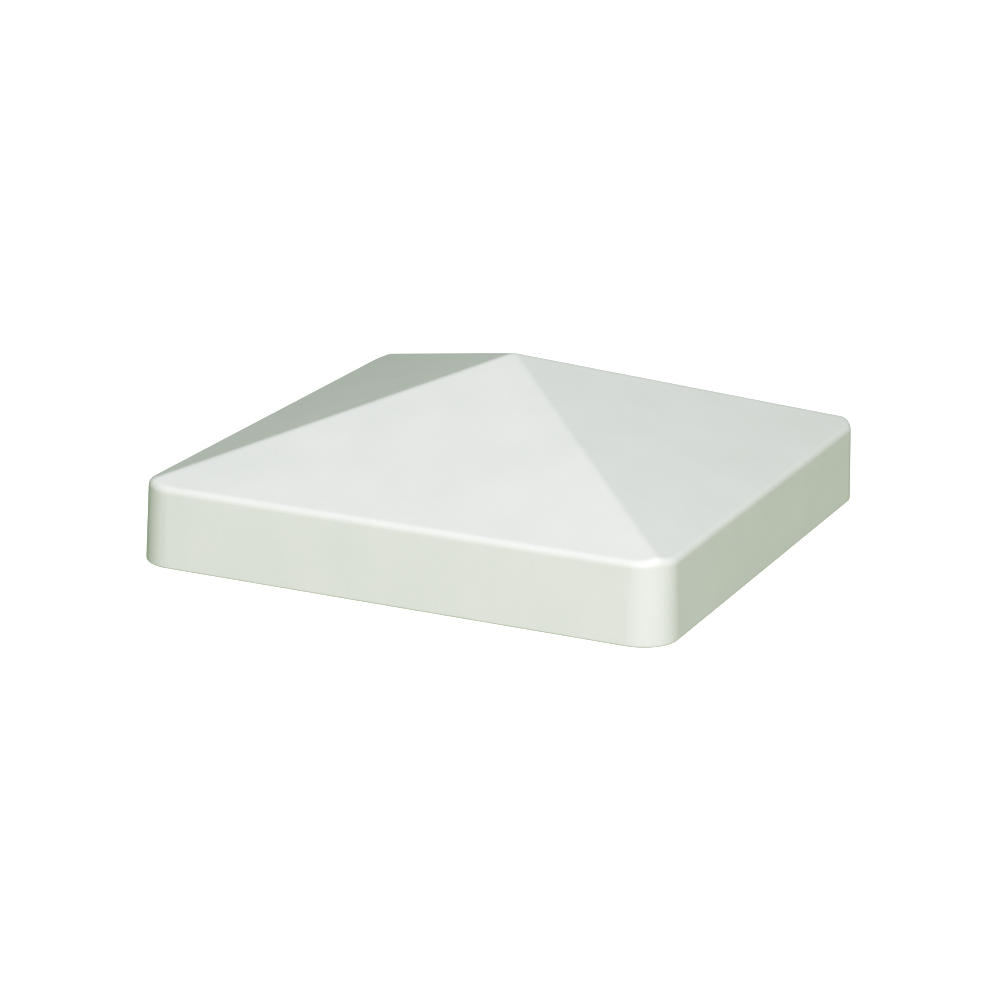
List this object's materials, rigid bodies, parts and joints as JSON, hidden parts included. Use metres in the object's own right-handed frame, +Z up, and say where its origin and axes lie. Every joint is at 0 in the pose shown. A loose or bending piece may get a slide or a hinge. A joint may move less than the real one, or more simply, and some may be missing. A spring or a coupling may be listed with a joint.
{
  "type": "fence post cap",
  "caption": "White external pyramid cap for a square hollow fence post: drafted skirt with rounded corners, low hipped roof, stop ribs inside and foam grip strips on the skirt walls.",
  "frame": {"origin": "middle of the open mouth, on the plane of the skirt's lower rim", "axes": "+Z up through the peak, and the skirt's four sides face +X, -X, +Y and -Y"},
  "size_m": [0.134, 0.134, 0.0437],
  "materials": {
    "vinyl_white": "satin, finely grained",
    "foam_tape": "matt closed-cell foam"
  },
  "bodies": {
    "root": {"cap_shell": "vinyl_white", "grip_strip_front": "foam_tape", "grip_strip_right": "foam_tape", "grip_strip_back": "foam_tape", "grip_strip_left": "foam_tape"}
  },
  "joints": []
}
